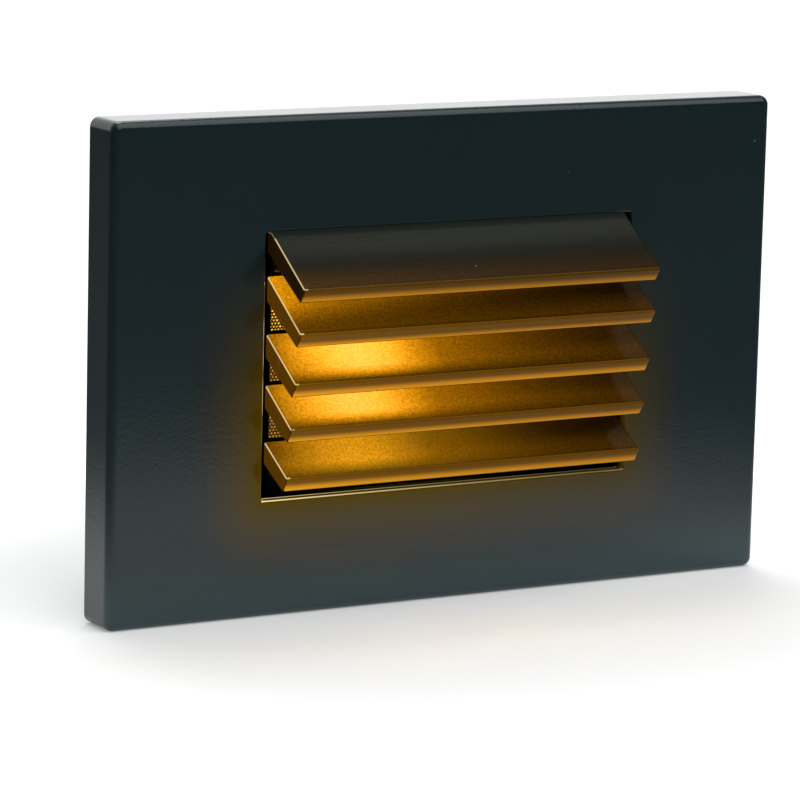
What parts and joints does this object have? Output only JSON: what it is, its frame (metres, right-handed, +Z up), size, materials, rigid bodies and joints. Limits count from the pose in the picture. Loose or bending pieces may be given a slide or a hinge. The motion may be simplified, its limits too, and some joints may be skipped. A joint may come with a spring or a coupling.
{
  "type": "recessed louvred step light",
  "caption": "Recessed horizontal step light: a plain black faceplate with downward louvres, over an amber light housing that screws to a single-gang wall box.",
  "frame": {"origin": "midway between the two wall-box screw slots, on the rear face of the mounting strap", "axes": "+X to the viewer's right along the width, +Z up, +Y into the wall, so the front looks towards -Y"},
  "size_m": [0.1142, 0.0567, 0.075],
  "materials": {
    "black_coat": "satin powder coat, blue-black",
    "stainless": "plain machine screw finish",
    "spring_steel": "rolled spring strip",
    "black_foam": "closed-cell foam, matte",
    "zinc_steel": "zinc plated",
    "cast_alloy": "as cast",
    "clear_glass": "clear, dotted on its inner face",
    "grey_rubber": "moulded silicone",
    "white_reflector": "gloss white",
    "amber_resin": "amber lens resin",
    "white_board": "white solder mask",
    "black_plastic": "moulded, matte",
    "tinned_brass": "tinned",
    "green_board": "green solder mask",
    "yellow_tape": "winding tape over a ferrite core",
    "capacitor_sleeve": "shrink sleeve",
    "red_film": "dipped film case",
    "blue_epoxy": "dipped epoxy",
    "green_plastic": "moulded",
    "black_rubber": "moulded",
    "green_screw": "green dyed zinc"
  },
  "bodies": {
    "fixture": {"wall_gasket": "black_foam", "mounting_strap": "zinc_steel", "strap_screws": "stainless", "housing": "cast_alloy", "lens": "clear_glass", "lens_gasket": "grey_rubber", "reflector_tray": "white_reflector", "amber_leds": "amber_resin", "led_board": "white_board", "led_board_screws": "stainless", "thermal_pad": "grey_rubber", "feed_bush": "black_plastic", "feed_pins": "tinned_brass", "driver_board": "green_board", "driver_board_screws": "stainless", "transformer": "yellow_tape", "smoothing_capacitor": "capacitor_sleeve", "film_capacitor": "red_film", "bridge_rectifier": "black_plastic", "varistor": "blue_epoxy", "fuse": "black_plastic", "driver_chip": "black_plastic", "terminal_block": "green_plastic", "terminal_screws": "stainless", "cover_gasket": "grey_rubber", "rear_cover": "cast_alloy", "cover_screws": "stainless", "lead_bushing": "black_rubber", "ground_washer": "stainless", "ground_screw": "green_screw"},
    "cover": {"faceplate": "black_coat", "louvre_insert": "black_coat", "insert_screws": "stainless", "clip_left": "spring_steel", "clip_right": "spring_steel", "clip_screws": "stainless"}
  },
  "joints": [
    {"name": "faceplate_pull", "type": "slide", "parent": "fixture", "child": "cover", "axis": [0, -1, 0], "range_m": [0, 0.012]}
  ]
}
